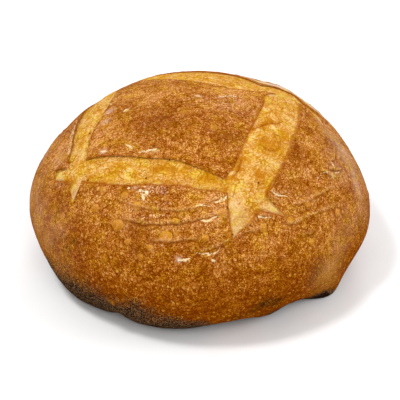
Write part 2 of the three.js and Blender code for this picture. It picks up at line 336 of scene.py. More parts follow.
class LoafSizes(bpy.types.PropertyGroup):
    """Measures of the loaf."""

    belly_radius: length("Belly Radius", "Mean radius at the widest level", 0.1174)
    belly_height: length("Belly Height", "Height of the widest level", 0.043)
    dome_rise: length("Dome Rise", "From the widest level to the top", 0.0757)
    foot_radius: length("Foot Radius", "Mean radius of the flat base", 0.093)
    ring_depth: length("Ring Depth", "Relief of the rings left by the proving basket", 0.0002)


class LoafColours(bpy.types.PropertyGroup):
    """Finish of the crust and the crumb."""

    deep: colour("Deep", "Darkest gaps of the crust", (0.165, 0.031, 0.0004))
    brown: colour("Brown", "Well baked crust", (0.275, 0.070, 0.0012))
    gold: colour("Gold", "Lighter crust", (0.45, 0.160, 0.016))
    pale: colour("Pale", "Lightest grains of the crust", (0.76, 0.405, 0.13))
    amber: colour("Amber", "Clear skin of the blisters", (0.60, 0.260, 0.026))
    # painted shade: the colour of the blisters' lower sides
    painted_blister_shade: colour("Honey", "Lower side of the blisters", (0.42, 0.150, 0.004))
    umber: colour("Umber", "Dark brown places low on the side", (0.055, 0.017, 0.0025))
    dusk: colour("Dusk", "Purplish brown patches", (0.19, 0.045, 0.010))
    russet: colour("Russet", "Browned edges of the cuts", (0.34, 0.080, 0.003))
    burnt: colour("Burnt", "Darkest grains of the burnt crust", (0.010, 0.004, 0.0015))
    scorch: colour("Scorch", "Burnt crust", (0.056, 0.028, 0.011))
    ash: colour("Ash", "Lightest grains of the burnt crust", (0.27, 0.145, 0.070))
    toast: colour("Toast", "Streaks baked into the crumb", (0.47, 0.165, 0.006))
    crumb: colour("Crumb", "Crumb in the cuts", (0.60, 0.275, 0.028))
    husk: colour("Husk", "Dry skin at the tips of the cuts", (0.62, 0.42, 0.17))
    # painted sheen: the pale veil painted where light glances off the sides
    painted_sheen_colour: colour("Haze", "Thin veil of flour and steam on the crust", (0.66, 0.37, 0.19))
    # pale spots, painted highlights and painted rim light all take this colour
    pale_and_painted_light: colour("Flour", "Traces of flour on the crust", (0.76, 0.55, 0.36))
    # painted highlight: the colour of the glints painted on the crust
    glint: colour("Glint", "Tight skin that shines", (0.90, 0.70, 0.37))
    cream: colour("Cream", "Palest crumb", (0.78, 0.52, 0.19))


def sizes():
    """The loaf's measures in millimetres: belly radius and height, dome rise and foot radius."""
    group = bpy.context.scene.loaf_sizes
    return [v / MM for v in (group.belly_radius, group.belly_height, group.dome_rise, group.foot_radius)]


# ---- the surface of the uncut boule ----


def smooth(x, low, high):
    """Smooth step from 0 at low to 1 at high."""
    t = np.clip((x - low) / (high - low), 0, 1)
    return t * t * (3 - 2 * t)


def bell(x, width):
    """A bump of height 1 round nought, with a given half width."""
    return np.exp(-((x / width) ** 2))


def swell(angle, level):
    """Sum of the swells in each direction, for the belly (2) or the foot (3)."""
    total = np.zeros_like(angle)
    for row in SWELLS:
        away = (np.degrees(angle) - row[0] + 180) % 360 - 180
        total += row[level] * bell(away, row[1])
    return total


def boule_point(angle, turn):
    """Points of the boule: turn 0 is the top, 1 the belly, 2 the edge of the base and 3 its middle."""
    radius, height, rise, foot_radius = sizes()
    belly = radius + swell(angle, 2)
    foot = foot_radius + swell(angle, 3)
    down = np.clip(turn, 0, 1) * math.pi / 2
    tuck = np.clip(turn - 1, 0, 1) * math.pi / 2
    out = np.sin(down) ** (2 / DOME_POWER)
    up = np.clip(np.cos(down), 0, 1) ** (2 / DOME_POWER)
    drawn_in = np.clip(np.cos(tuck), 0, 1) ** (2 / TUCK_POWER)
    r = np.where(turn <= 1, belly * out, foot + (belly - foot) * drawn_in)
    z = np.where(turn <= 1, height + rise * up, height * (1 - np.sin(tuck) ** (2 / TUCK_POWER)))
    r = np.where(turn > 2, foot * (3 - turn), r)
    return np.stack([r * np.cos(angle), r * np.sin(angle), np.where(turn > 2, 0, z)], 1)


def profile_steps():
    """Turns from the top to the base's middle, the radius there and the run along the profile."""
    turn = np.linspace(0, 3, PROFILE_POINTS)
    profile = boule_point(np.zeros_like(turn) + math.pi / 2, turn)
    step = np.linalg.norm(np.diff(profile, axis=0), axis=1)
    return turn, np.abs(profile[:, 1]), step


def even_turns(polar):
    """Turn for each polar angle of a ball, so that equal faces stay about equal on the boule."""
    turn, radius, step = profile_steps()
    share = np.where(turn[1:] <= 2, 1.0, BASE_SHARE) * (radius[1:] + radius[:-1]) * step
    area = np.concatenate([[0], np.cumsum(share)])
    return np.interp((1 - np.cos(polar)) / 2, area / area[-1], turn)


# ---- meshes, read and written as arrays ----


def read_rows(items, name):
    """A vector kept for each vertex, normal or face, as rows."""
    flat = np.empty(len(items) * 3, np.float32)
    items.foreach_get(name, flat)
    return flat.reshape(-1, 3).astype(float)


def read_places(mesh):
    """The vertices' places, in millimetres."""
    return read_rows(mesh.vertices, "co") / MM


def write_places(mesh, places):
    """Moves the vertices to places given in millimetres."""
    mesh.vertices.foreach_set("co", (places * MM).astype(np.float32).ravel())
    mesh.update()


def read_values(mesh, name):
    """A number kept for each vertex."""
    values = np.empty(len(mesh.vertices), np.float32)
    mesh.attributes[name].data.foreach_get("value", values)
    return values.astype(float)


def write_values(mesh, **marks):
    """Keeps numbers for each vertex, for the material to read."""
    for name, values in marks.items():
        layer = mesh.attributes.new(name, "FLOAT", "POINT")
        layer.data.foreach_set("value", values.astype(np.float32))


def normals_of(mesh):
    """The vertices' normals."""
    return read_rows(mesh.vertex_normals, "vector")


def face_centres(mesh):
    """The faces' middles, in millimetres."""
    return read_rows(mesh.polygons, "center") / MM


def rough(places, wavelength, seed):
    """Smooth noise between about -1 and 1, with the given wavelength in millimetres."""
    moved = places / wavelength + (seed * 17.3, seed * 5.1, seed * 11.7)
    return np.array([noise.noise(p) for p in moved])


def drift(places, wavelength, seed):
    """Smooth noise in plan, from two seeds that follow each other."""
    return np.stack([rough(places, wavelength, seed), rough(places, wavelength, seed + 1)], 1)


def upper(places):
    """Which places lie above the belly, where the cuts and the marks are."""
    return np.flatnonzero(places[:, 2] > sizes()[1])


# ---- measuring against lines drawn in plan ----


def smooth_line(points, count):
    """Plan points spaced along a smooth curve through the given ones."""
    p = np.array(points, float)
    t = np.linspace(0, len(p) - 1, count)
    i = np.minimum(t.astype(int), len(p) - 2)
    f = (t - i)[:, None]
    a, b, c, d = (p[np.clip(i + k, 0, len(p) - 1)] for k in (-1, 0, 1, 2))
    return b + 0.5 * f * (c - a + f * (2 * a - 5 * b + 4 * c - d + f * (3 * (b - c) + d - a)))


def nearest(places, line):
    """For each plan point near a line: its distance to it, and where along it, from 0 to 1."""
    a, b = line[:-1], line[1:]
    run = b - a
    away = np.full(len(places), FAR)
    along = np.zeros(len(places))
    close = ((places > line.min(0) - NEAR) & (places < line.max(0) + NEAR)).all(1)
    for rows in np.array_split(np.flatnonzero(close), max(1, close.sum() // AT_ONCE)):
        part = places[rows, None]
        t = np.clip(((part - a) * run).sum(2) / (run * run).sum(1), 0, 1)
        gap = np.hypot(*np.moveaxis(a + t[..., None] * run - part, 2, 0))
        best = gap.argmin(1)
        pick = np.arange(len(rows))
        away[rows] = gap[pick, best]
        along[rows] = (best + t[pick, best]) / len(a)
    return away, along


def within(places, outline):
    """Whether each plan point lies inside a closed outline."""
    inside = np.zeros(len(places), bool)
    for (x0, y0), (x1, y1) in zip(outline, np.roll(outline, -1, axis=0)):
        if y0 != y1:
            beside = (y0 > places[:, 1]) != (y1 > places[:, 1])
            cross = x0 + (places[:, 1] - y0) * (x1 - x0) / (y1 - y0)
            inside ^= beside & (places[:, 0] < cross)
    return inside


class Cut:
    """One cut's edges in plan, and how points of the crust lie to them."""

    def __init__(self, spec):
        self.spec = spec
        self.ear = smooth_line(spec["ear"], LINE_POINTS)
        self.hem = smooth_line(spec["hem"], LINE_POINTS)
        self.outline = np.concatenate([self.ear, self.hem[::-1]])
        run = np.gradient(self.ear, axis=0)
        run /= np.linalg.norm(run, axis=1)[:, None]
        side = np.stack([-run[:, 1], run[:, 0]], 1)
        toward = ((self.hem - self.ear) * side).sum(1).mean()
        self.side = side if toward > 0 else -side
        self.length = np.linalg.norm(np.diff(self.ear, axis=0), axis=1).sum()

    def held(self, others):
        """How far each point of the ear runs along crust, 0 where another cut crosses it."""
        free = np.ones(LINE_POINTS)
        for other in others:
            gap = np.minimum(nearest(self.ear, other.ear)[0], nearest(self.ear, other.hem)[0])
            gap[within(self.ear, other.outline)] = 0
            free *= smooth(gap, 0, 3)
        s = np.linspace(0, 1, LINE_POINTS)
        return free * smooth(np.minimum(s, 1 - s), 0, TIP_TAPER)


# ---- how a cut opens ----


def sideways(spec, to_ear, here):
    """How far places are pushed over a cut: its lip out, and the wall and the crumb back under it."""
    lip = spec["lean"] * bell(to_ear, 2.5)
    back = -spec["undercut"] - WALL_WIDTH
    wall = spec["lean"] + (back - spec["lean"]) * to_ear / WALL_WIDTH
    floor = back * (1 - smooth(to_ear - WALL_WIDTH, 0, 5))
    return np.where(here, np.where(to_ear < WALL_WIDTH, wall, floor), lip)


def crumb_level(spec, held, to_ear, to_hem):
    """Height of a cut's crumb, from the top of the folded wall down and up again to the hem."""
    width = to_ear + to_hem
    v = to_ear / np.maximum(width, 1e-6)
    drop = HEM_DEPTH + (spec["drop"] - HEM_DEPTH) * held
    floor = -HEM_DEPTH - (drop - HEM_DEPTH) * (1 - v) ** CRUMB_POWER
    floor += CRUMB_SWELL * np.sin(math.pi * v) * np.clip(width / WIDE, 0, 1)
    return floor + (spec["lift"] - floor) * held * (1 - smooth(to_ear, 0, WALL_WIDTH))


def wander(places):
    """Plan places shifted a little, so that straight edges tear unevenly."""
    return places[:, :2] + drift(places, 12, 1) * 0.9 + drift(places, 2.6, 3) * 0.2


# ---- choosing by code, as by hand ----


def only(piece):
    """Makes a piece the only one selected, and active."""
    bpy.ops.object.select_all(action="DESELECT")
    piece.select_set(True)
    bpy.context.view_layer.objects.active = piece


def split_faces(piece, chosen):
    """Subdivides the chosen faces once."""
    only(piece)
    bpy.ops.object.mode_set(mode="EDIT")
    bpy.ops.mesh.select_mode(type="FACE")
    bpy.ops.mesh.select_all(action="DESELECT")
    bpy.ops.object.mode_set(mode="OBJECT")
    piece.data.polygons.foreach_set("select", chosen)
    bpy.ops.object.mode_set(mode="EDIT")
    bpy.ops.mesh.subdivide(number_cuts=1)
    bpy.ops.mesh.select_all(action="SELECT")
    bpy.ops.mesh.quads_convert_to_tris()
    bpy.ops.object.mode_set(mode="OBJECT")


# ---- the pieces ----


class LOAF_OT_boule(bpy.types.Operator):
    """Raise the boule: a ball pressed on to its base, domed, swollen and tucked in"""

    bl_idname = "loaf.boule"
    bl_label = "Raise Boule"

    def execute(self, context):
        bpy.ops.object.select_all(action="DESELECT")
        radius = context.scene.loaf_sizes.belly_radius
        bpy.ops.mesh.primitive_ico_sphere_add(subdivisions=7, radius=radius, location=(0, 0, radius))
        piece = context.object
        piece.name = piece.data.name = PIECE
        bpy.ops.object.transform_apply(location=True)
        ball = read_places(piece.data) - (0, 0, radius / MM)
        angle = np.arctan2(ball[:, 1], ball[:, 0])
        turn = even_turns(np.arctan2(np.hypot(ball[:, 0], ball[:, 1]), ball[:, 2]))
        write_places(piece.data, boule_point(angle, turn))
        self.unwrap(piece.data, angle, turn)
        return {"FINISHED"}

    def unwrap(self, mesh, angle, turn):
        """Lays the crust out as one disc seen from above, and the base as a small one beside it."""
        steps, _, run = profile_steps()
        gone = np.concatenate([[0], np.cumsum(run)])
        arc = np.interp(turn, steps, gone) / np.interp(2, steps, gone)
        corners = np.empty(len(mesh.loops), np.int32)
        mesh.loops.foreach_get("vertex_index", corners)
        under = np.repeat(turn[corners].reshape(-1, 3).mean(1) > 2, 3)
        middle = np.where(under, 1 - BASE_DISC, CRUST_DISC)
        small = BASE_DISC * BASE_FILL * (3 - turn[corners])
        radius = np.where(under, small, CRUST_DISC * CRUST_FILL * arc[corners])
        toward = np.stack([np.cos(angle[corners]), np.sin(angle[corners])], 1)
        uv = middle[:, None] + radius[:, None] * toward
        for layer in list(mesh.uv_layers):
            mesh.uv_layers.remove(layer)
        mesh.uv_layers.new(name="OFBake").data.foreach_set("uv", uv.astype(np.float32).ravel())


class LOAF_OT_cuts(bpy.types.Operator):
    """Open the cuts: fold their walls down, lift their lips and swell the crumb"""

    bl_idname = "loaf.cuts"
    bl_label = "Open Cuts"

    def execute(self, context):
        piece = bpy.data.objects[PIECE]
        cuts = [Cut(spec) for spec in CUTS]
        self.refine(piece, cuts)
        self.open(piece.data, cuts)
        return {"FINISHED"}

    def creased(self, places):
        """How near plan places on the dome lie to a crease, a painted highlight or a marked blister."""
        gap = np.full(len(places), FAR)
        dome = upper(places)
        plan = places[dome, :2]
        for points, *_ in CREASES + CRUMB_CREASES + PAINTED_GLINTS:
            gap[dome] = np.minimum(gap[dome], nearest(plan, smooth_line(points, CREASE_POINTS))[0])
        for x, y, radius in BLISTERS:
            gap[dome] = np.minimum(gap[dome], np.abs(np.hypot(plan[:, 0] - x, plan[:, 1] - y) - radius))
        return gap

    def gaps(self, places, cuts):
        """How near plan places on the dome lie to an ear, a hem and the inside of a cut."""
        ear = np.full(len(places), FAR)
        hem = np.full(len(places), FAR)
        inside = np.zeros(len(places), bool)
        dome = upper(places)
        plan = places[dome, :2]
        for cut in cuts:
            ear[dome] = np.minimum(ear[dome], nearest(plan, cut.ear)[0])
            hem[dome] = np.minimum(hem[dome], nearest(plan, cut.hem)[0])
            inside[dome] |= within(plan, cut.outline)
        return ear, hem, inside

    def refine(self, piece, cuts):
        """Finer faces over the cuts, and finest along their edges."""
        for near in FINER:
            middles = face_centres(piece.data)
            ear, hem, inside = self.gaps(middles, cuts)
            by_edge = (ear < near["ear"]) | (hem < near["hem"]) | inside & (ear < near["inside"])
            split_faces(piece, by_edge | (self.creased(middles) < near["crease"]))

    def open(self, mesh, cuts):
        """Moves the crust beside each cut and the crumb inside it, and notes where they are."""
        places = read_places(mesh)
        near = upper(places)
        spot = places[near]
        up = normals_of(mesh)[near]
        plan = wander(spot)
        marks = {name: np.zeros(len(near)) for name in ("lip", "rim", "wall", "along", "across", "tip")}
        rise = np.zeros(len(near))
        shift = np.zeros((len(near), 3))
        inside = np.zeros(len(near), bool)
        crumb = np.full(len(near), -FAR)
        depths = []
        rims = []
        stations = np.linspace(0, 1, LINE_POINTS)
        for index, cut in enumerate(cuts):
            spec = cut.spec
            to_ear, s = nearest(plan, cut.ear)
            to_hem, _ = nearest(plan, cut.hem)
            here = within(plan, cut.outline)
            held = np.interp(s, stations, cut.held(cuts[:index] + cuts[index + 1:])) * (1 - spec["ease"] * s)
            side = np.stack([np.interp(s, stations, cut.side[:, k]) for k in (0, 1)], 1)
            shift[:, :2] += side * (held * sideways(spec, to_ear, here))[:, None]
            rise += np.where(here, 0, spec["lift"] * held * np.exp(-((to_ear / EAR_REACH) ** 1.5)))
            marks["lip"] = np.maximum(marks["lip"], np.where(here, 0, held * bell(to_ear, 0.9)))
            rims.append(spec["rim"] * bell(to_hem, 1.0))
            depths.append(np.where(here, 1, -1) * np.minimum(to_ear, to_hem))
            floor = crumb_level(spec, held, to_ear, to_hem)
            best = here & (floor > crumb)
            blended = np.maximum(floor, crumb) + BLEND * np.exp(-np.abs(floor - crumb) / BLEND)
            crumb = np.where(here, np.where(inside, blended, floor), crumb)
            marks["along"] = np.where(best, s * cut.length + STREAK_GAP * index, marks["along"])
            marks["across"] = np.where(best, to_ear, marks["across"])
            brown = spec["browned"] * WALL_WIDTH
            wall = held * (1 - smooth(to_ear, 0.5 * brown, 1.2 * brown))
            marks["wall"] = np.where(here, np.maximum(marks["wall"], wall), marks["wall"])
            tip = bell(np.minimum(s, 1 - s) * cut.length, TIP_REACH)
            marks["tip"] = np.where(best, tip, marks["tip"])
            inside |= here
        shift -= up * (shift * up).sum(1)[:, None]
        places[near] = spot + shift + up * np.where(inside, crumb, rise)[:, None]
        write_places(mesh, places)
        marks["crumb"] = np.max(depths, axis=0)
        for index, rim in enumerate(rims):
            other = np.max(depths[:index] + depths[index + 1:], axis=0)
            marks["rim"] = np.maximum(marks["rim"], rim * (1 - smooth(other, -0.5, 0.8)))
        for name, values in marks.items():
            full = np.full(len(places), -FAR if name == "crumb" else 0.0)
            full[near] = values
            write_values(mesh, **{name: full})


def spots(places, table):
    """Strength of a table's round patches at each place."""
    total = np.zeros(len(places))
    for x, y, z, radius, *strength in table:
        away = np.linalg.norm(places - (x, y, z), axis=1)
        total = np.maximum(total, (strength or [1])[0] * bell(away, radius))
    return total


class LOAF_OT_relief(bpy.types.Operator):
    """Press in the basket's rings, fold the creases and raise the blisters"""

    bl_idname = "loaf.relief"
    bl_label = "Raise Relief"

    def execute(self, context):
        mesh = bpy.data.objects[PIECE].data
        places = read_places(mesh)
        up = normals_of(mesh)
        in_cut = read_values(mesh, "crumb")
        crust = (1 - smooth(in_cut, -2.5, 0)) * smooth(places[:, 2], 0, 3)
        folds, crease, crest = self.creases(places, crust)
        height = self.rings(places, context.scene.loaf_sizes.ring_depth / MM)
        domes, blister, under = self.blisters(places, crust)
        height += domes + spots(places, LUMPS)
        height += sum(rise * rough(places, wavelength, seed) for rise, wavelength, seed in UNEVEN)
        write_places(mesh, places + up * (height * crust + folds)[:, None])
        write_values(
            mesh,
            crease=crease,
            crest=crest,
            blister=blister * crust,
            # how far down a blister each place lies, for its painted shade
            under=under,
            gloss=spots(places, GLOSSY) * crust,
            # painted highlight: where the glints are painted, kept off the crumb
            glint=self.strokes(places, PAINTED_GLINTS) * (1 - smooth(in_cut, -0.8, 0)),
        )
        self.baking(mesh, places, crust)
        return {"FINISHED"}

    def creases(self, places, crust):
        """Height of the creases, with the shade painted along their bottoms and the highlight painted along
        their crests.
        """
        height = np.zeros(len(places))
        dark = np.zeros(len(places))
        pale = np.zeros(len(places))
        dome = upper(places)
        plan = places[dome, :2] + drift(places[dome], 4, 5) * 0.7
        for table, ground in ((CREASES, crust[dome]), (CRUMB_CREASES, 1 - crust[dome])):
            for points, groove, shoulder in table:
                line = smooth_line(points, CREASE_POINTS)
                gap, s = nearest(plan, line)
                stations = np.linspace(0, 1, CREASE_POINTS)
                foot = np.stack([np.interp(s, stations, line[:, k]) for k in (0, 1)], 1)
                across = gap * np.sign((plan ** 2).sum(1) - (foot ** 2).sum(1))
                fade = smooth(np.minimum(s, 1 - s), -0.02, 0.15) * ground
                height[dome] += fade * shoulder * bell(across + SHOULDER_AWAY, SHOULDER_WIDTH)
                height[dome] -= fade * groove * bell(across, GROOVE_WIDTH)
                # painted shade along the bottom of the groove
                bottom = min(1, 1.6 * groove) * fade * bell(across, BOTTOM_WIDTH)
                dark[dome] = np.maximum(dark[dome], bottom)
                crest = fade * shoulder * bell(across + CREST_AWAY, CREST_WIDTH)
                pale[dome] = np.maximum(pale[dome], crust[dome] * crest)
        return height, dark, pale

    def strokes(self, places, table):
        """Strength of marks given as lines, each thinning to its ends."""
        total = np.zeros(len(places))
        dome = upper(places)
        plan = places[dome, :2] + drift(places[dome], 3, 8) * 0.6
        for points, half_width, strength in table:
            gap, s = nearest(plan, smooth_line(points, STROKE_POINTS))
            width = half_width * (0.35 + 0.65 * smooth(np.minimum(s, 1 - s), 0, 0.5))
            total[dome] = np.maximum(total[dome], strength * bell(gap, width))
        return total

    def rings(self, places, depth):
        """Height of the rings pressed all round by the basket."""
        wobble = 2.5 * rough(places, 40, 7)
        radius = np.hypot(places[:, 0] - RING_CENTRE[0], places[:, 1] - RING_CENTRE[1]) + wobble
        start, full, fade, end = RING_HEIGHTS
        zone = smooth(places[:, 2], start, full) * (1 - smooth(places[:, 2], fade, end))
        return depth * zone * np.cos(2 * math.pi * radius / RING_GAP)

    def blisters(self, places, crust):
        """Height and clearness of the blisters, and how far down each one a place lies, for the shade
        painted on their lower sides.
        """
        random = np.random.default_rng(8)
        open_crust = np.flatnonzero((places[:, 2] > LOOSE_FROM) & (crust > 0.9))
        picked = random.choice(open_crust, LOOSE_BLISTERS, replace=False)
        smallest, largest = LOOSE_RADII
        radii = np.minimum(random.gamma(2.2, 0.4, LOOSE_BLISTERS) + smallest, largest)
        clearness = np.full(LOOSE_BLISTERS, LOOSE_CLEAR)
        strewn = np.column_stack([places[picked], radii, LOOSE_RISE * radii, clearness])
        marked = []
        for x, y, radius in BLISTERS:
            row = open_crust[np.hypot(places[open_crust, 0] - x, places[open_crust, 1] - y).argmin()]
            marked.append((*places[row], radius, MARKED_RISE * radius, MARKED_CLEAR))
        height = np.zeros(len(places))
        clear = np.zeros(len(places))
        under = np.zeros(len(places))
        for x, y, z, radius, top, clearness in np.concatenate([strewn, marked]):
            close = np.flatnonzero((np.abs(places - (x, y, z)) < radius).all(1))
            away = np.linalg.norm(places[close] - (x, y, z), axis=1) / radius
            dome = np.sqrt(np.clip(1 - away ** 2, 0, 1))
            height[close] = np.maximum(height[close], top * dome)
            clear[close] = np.maximum(clear[close], clearness * smooth(dome, 0.1, 0.9))
            under[close] = np.where(away < 1, (z - places[close, 2]) / radius, under[close])
        return height, clear, under

    def baking(self, mesh, places, crust):
        """Notes how golden, dusky, dark and burnt the crust is, how low it lies, where sheen, highlights and
        rim light are painted on it, and the crumb's stains.
        """
        height = places[:, 2]
        uneven = rough(places, 18, 21) + 0.6 * rough(places, 6, 22)
        # the base rim darker all round, partly browning and partly painted shade
        edge = 0.3 * (1 - smooth(height + 3 * uneven, 1, 10))
        angle = np.degrees(np.arctan2(places[:, 1], places[:, 0])) % 360
        reach = np.interp(angle, *np.transpose(BURNT_FOOT)) + 1e-6
        edge = np.maximum(edge, 1.1 * (1 - smooth((height + 6 * uneven) / reach, 0.2, 1.3)))
        # painted rim light along the back and the right shoulder
        painted_rim_light = np.clip(self.strokes(places, PAINTED_RIM_LIGHT_STREAKS) * (0.85 + 0.5 * uneven), 0, 1)
        write_values(
            mesh,
            # how low a place lies, for the colour deepened towards the foot, partly as painted shade
            low=1 - smooth(height + 6 * uneven, 15, 95),
            burn=np.maximum(spots(places, SCORCHED) * (1 + 0.3 * uneven), edge),
            darkened=spots(places, DARKENED) * crust * (1 + 0.4 * uneven),
            golden=spots(places, GOLDEN) * crust,
            # painted sheen over the sides
            hazy=spots(places, PAINTED_SHEEN_SPOTS) * crust,
            # pale spots, with painted highlights and painted rim light
            pale=np.maximum(spots(places, PALE_SPOTS_AND_HIGHLIGHTS), painted_rim_light) * crust,
            toasted=spots(places, TOASTED),
            creamy=spots(places, CREAMY),
            dusky=np.clip(spots(places, DUSKY) * (0.8 + 0.5 * uneven), 0, 1) * crust,
        )


class LOAF_OT_finish(bpy.types.Operator):
    """Brown the crust: the finish of crust and crumb on the one piece"""

    bl_idname = "loaf.finish"
    bl_label = "Bake Crust"

    def execute(self, context):
        piece = bpy.data.objects[PIECE]
        write_places(piece.data, read_places(piece.data) + (*CENTRE, 0))
        only(piece)
        bpy.ops.object.shade_smooth()
        piece.data.materials.append(crust_material(context.scene.loaf_colours))
        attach(piece, "root")
        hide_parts(NODE)
        return {"FINISHED"}


# ---- materials ----
# In the functions below n adds the nodes, f holds the fields that they share and c the colours.

LOW_TINT = (0.90, 0.78, 0.25)       # deepens the colour towards the foot, partly the deeper bake and partly painted shade
OLIVE_TINT = (0.98, 1.03, 0.5)
NO_TINT = (1.0, 1.0, 1.0)
ROSY_TINT = (1.0, 0.97, 1.25)
RELIEF_DEPTH = 0.0013


def solid(shade):
    """A colour with nothing showing through; a node's output stays as it is."""
    return shade if isinstance(shade, bpy.types.NodeSocket) else (*shade[:3], 1)


class Nodes:
    """Short calls for building a node material."""

    def __init__(self, name):
        self.material = bpy.data.materials.new(name)
        self.material.use_nodes = True
        self.tree = self.material.node_tree
        self.shader = self.tree.nodes["Principled BSDF"]

    def add(self, kind, inputs=None, **settings):
        """A node with its settings, and inputs that are values or other nodes' outputs."""
        node = self.tree.nodes.new(kind)
        for key, value in settings.items():
            setattr(node, key, value)
        for key, value in (inputs or {}).items():
            if isinstance(value, bpy.types.NodeSocket):
                self.tree.links.new(value, node.inputs[key])
            else:
                node.inputs[key].default_value = value
        return node

    def into(self, name, value):
        """Links a value to one of the shader's inputs."""
        self.tree.links.new(value, self.shader.inputs[name])

    def math(self, operation, a, b=0.0, c=0.0):
        """One sum on numbers."""
        return self.add("ShaderNodeMath", {0: a, 1: b, 2: c}, operation=operation).outputs[0]

    def times(self, *factors):
        """Numbers multiplied together."""
        total, *others = factors
        for factor in others:
            total = self.math("MULTIPLY", total, factor)
        return total

    def sum(self, *terms):
        """Numbers, each with its weight, added up."""
        total = 0.0
        for value, weight in terms:
            total = self.math("MULTIPLY_ADD", value, weight, total)
        return total

    def spread(self, value, low, high, to_low=0.0, to_high=1.0):
        """A number taken smoothly from one range to another, held at its ends."""
        node = self.add("ShaderNodeMapRange", {0: value, 1: low, 2: high, 3: to_low, 4: to_high})
        node.interpolation_type = "SMOOTHSTEP"
        return node.outputs[0]

    def mix(self, share, a, b, blend="MIX"):
        """Two colours mixed."""
        inputs = {0: share, 6: solid(a), 7: solid(b)}
        return self.add("ShaderNodeMix", inputs, data_type="RGBA", blend_type=blend).outputs[2]

    def over(self, under, shade, *shares):
        """A colour laid over another, by the product of the shares."""
        return self.mix(self.times(*shares), under, shade)

    def ramp(self, value, *stops):
        """A colour for a number, from stops of place and colour."""
        node = self.add("ShaderNodeValToRGB", {0: value})
        elements = node.color_ramp.elements
        for index, (place, shade) in enumerate(stops):
            element = elements[index] if index < 2 else elements.new(place)
            element.position = place
            element.color = solid(shade)
        return node.outputs[0]

    def kept(self, name):
        """A number kept on the mesh."""
        return self.add("ShaderNodeAttribute", attribute_name=name).outputs["Fac"]

    def noise(self, vector, scale, detail=2.0, roughness=0.5):
        """Cloudy noise from 0 to 1, with its scale in turns per metre."""
        inputs = {"Vector": vector, "Scale": scale, "Detail": detail, "Roughness": roughness}
        return self.add("ShaderNodeTexNoise", inputs).outputs["Fac"]

    def cells(self, vector, scale, feature="SMOOTH_F1"):
        """Distance to the middle of the nearest cell."""
        node = self.add("ShaderNodeTexVoronoi", {"Vector": vector, "Scale": scale}, feature=feature)
        return node.outputs["Distance"]


def crust_fields(n):
    """The noises and masks that more than one layer of the loaf's finish reads."""
    f = SimpleNamespace(place=n.add("ShaderNodeTexCoord").outputs["Object"])
    f.patch = n.noise(f.place, 70, 3)
    f.mottle = n.noise(f.place, 280, 3, 0.6)
    f.weave = n.noise(f.place, 650, 3, 0.7)
    f.grain = n.noise(f.place, 1250, 2, 0.7)
    f.fine = n.sum((f.grain, 0.6), (f.weave, 0.4))
    f.granule = n.cells(f.place, 480)
    waves = n.noise(f.place, 110, 2, 0.6)
    f.wrinkle = n.spread(n.math("ABSOLUTE", n.math("SUBTRACT", waves, 0.5)), 0.0, 0.025, 1.0, 0.0)
    f.pip, f.pip_ring = pips(n, f.place)
    f.low = n.kept("low")
    ragged = n.math("MULTIPLY_ADD", n.math("SUBTRACT", f.mottle, 0.5), 1.6, n.kept("crumb"))
    f.open_cut = n.spread(ragged, -0.2, 0.25)
    f.broken = n.spread(n.sum((f.mottle, 0.6), (f.grain, 0.4)), 0.35, 0.6)
    return f


def pips(n, place):
    """Small pale specks of many sizes, and the dark rings round the largest ones."""
    cells = n.add("ShaderNodeTexVoronoi", {"Vector": place, "Scale": 300.0})
    chance = n.add("ShaderNodeSeparateColor", {0: cells.outputs["Color"]}).outputs[0]
    edge = n.math("SUBTRACT", n.spread(chance, 0.1, 1.0, 0.0, 0.37), cells.outputs["Distance"])
    ring = n.times(n.spread(edge, -0.12, -0.02), n.spread(edge, 0.0, 0.06, 0.5, 0.0))
    return n.spread(edge, -0.02, 0.10), n.times(ring, n.spread(chance, 0.5, 0.7))


def browned_crust(n, f, c):
    """Mottled gold and brown crust, with its specks and blisters, and shade painted round the blisters' feet
    and on their lower sides.
    """
    blister = n.kept("blister")
    tone = n.sum(
        # the low term darkens the crust lower down, partly as painted shade
        (f.patch, 0.24), (f.mottle, 0.37), (f.grain, 0.95), (f.granule, -0.16), (f.pip, 0.06),
        (blister, 0.05), (n.kept("dusky"), -0.05), (f.low, -0.115), (n.kept("golden"), 0.06), (1.0, -0.162),
    )
    crust = n.ramp(tone, (0.40, c.deep), (0.49, c.brown), (0.59, c.gold), (0.75, c.pale))
    # painted shade round each blister's foot
    outline = n.times(n.spread(blister, 0.0, 0.2), n.spread(blister, 0.25, 0.6, 0.7, 0.0))
    crust = n.over(crust, n.mix(0.5, c.brown, c.deep), outline)
    crust = n.over(crust, c.deep, f.pip_ring)
    crust = n.over(crust, n.mix(0.6, c.amber, c.pale), f.pip, n.spread(f.grain, 0.35, 0.6, 0.3, 0.75))
    # painted shade: amber on the blisters' upper sides, darker towards their lower sides
    skin = n.mix(n.spread(n.kept("under"), -0.5, 0.5), c.amber, c.painted_blister_shade)
    clear = n.spread(blister, 0.3, 1.0, 0.0, 0.85)
    return n.over(crust, skin, clear, n.spread(f.grain, 0.35, 0.6, 1.0, 0.55))


def marked_crust(n, f, c, crust):
    """The crust with its dusky and dark patches, brown lips, pale spots, painted highlights, painted rim
    light and painted sheen, and deeper lower down, partly as painted shade.
    """
    crust = n.over(crust, c.dusk, n.kept("dusky"), 0.35)
    crust = n.over(crust, c.umber, n.kept("darkened"), n.spread(f.grain, 0.4, 0.62, 0.85, 0.35))
    crust = n.over(crust, c.brown, n.kept("lip"), 0.6)
    # pale spots, painted highlights and painted rim light
    crust = n.over(crust, c.pale_and_painted_light, n.kept("pale"), n.spread(f.fine, 0.3, 0.6, 0.5, 1.0))
    # painted sheen: the pale veil over the sides
    crust = n.over(crust, c.painted_sheen_colour, n.kept("hazy"), n.spread(f.grain, 0.38, 0.6, 0.12, 0.5))
    # partly painted shade: deeper towards the foot
    return n.mix(f.low, crust, LOW_TINT, "MULTIPLY")


